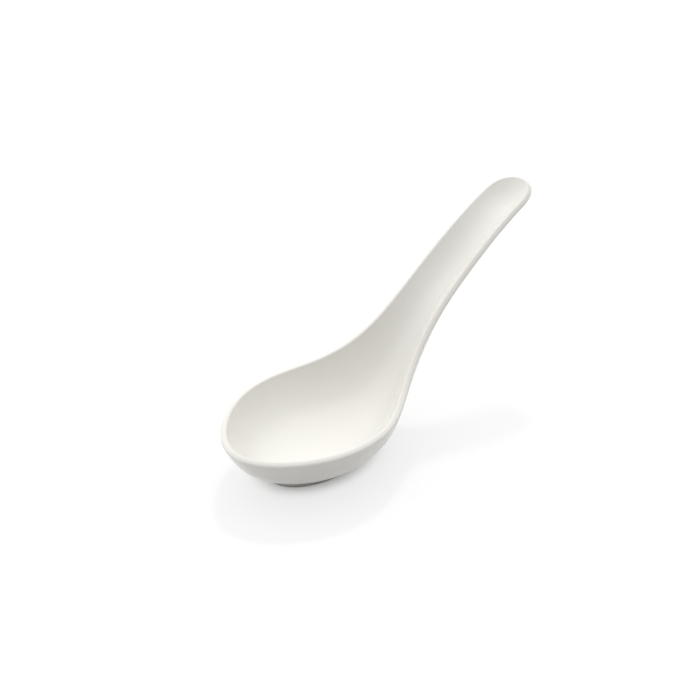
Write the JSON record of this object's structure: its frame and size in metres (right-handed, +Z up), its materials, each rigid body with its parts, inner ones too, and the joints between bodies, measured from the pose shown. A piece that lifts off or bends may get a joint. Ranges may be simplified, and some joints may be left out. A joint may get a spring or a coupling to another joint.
{
  "type": "finger food spoon",
  "caption": "One-piece glazed porcelain spoon that stands on a foot ring, with a wide oval bowl and a rising, dished handle, for serving single bites.",
  "frame": {"origin": "on the table, under the middle of the spoon's length, on its mirror plane", "axes": "+X from the bowl towards the handle's tip, +Y across the bowl, +Z up"},
  "size_m": [0.1198, 0.045, 0.0562],
  "materials": {
    "biscuit": "bare matt clay",
    "glaze": "clear gloss glaze over off-white porcelain"
  },
  "bodies": {
    "root": {"porcelain_body": "biscuit", "glaze_coat": "glaze", "foot_recess_glaze": "glaze"}
  },
  "joints": []
}
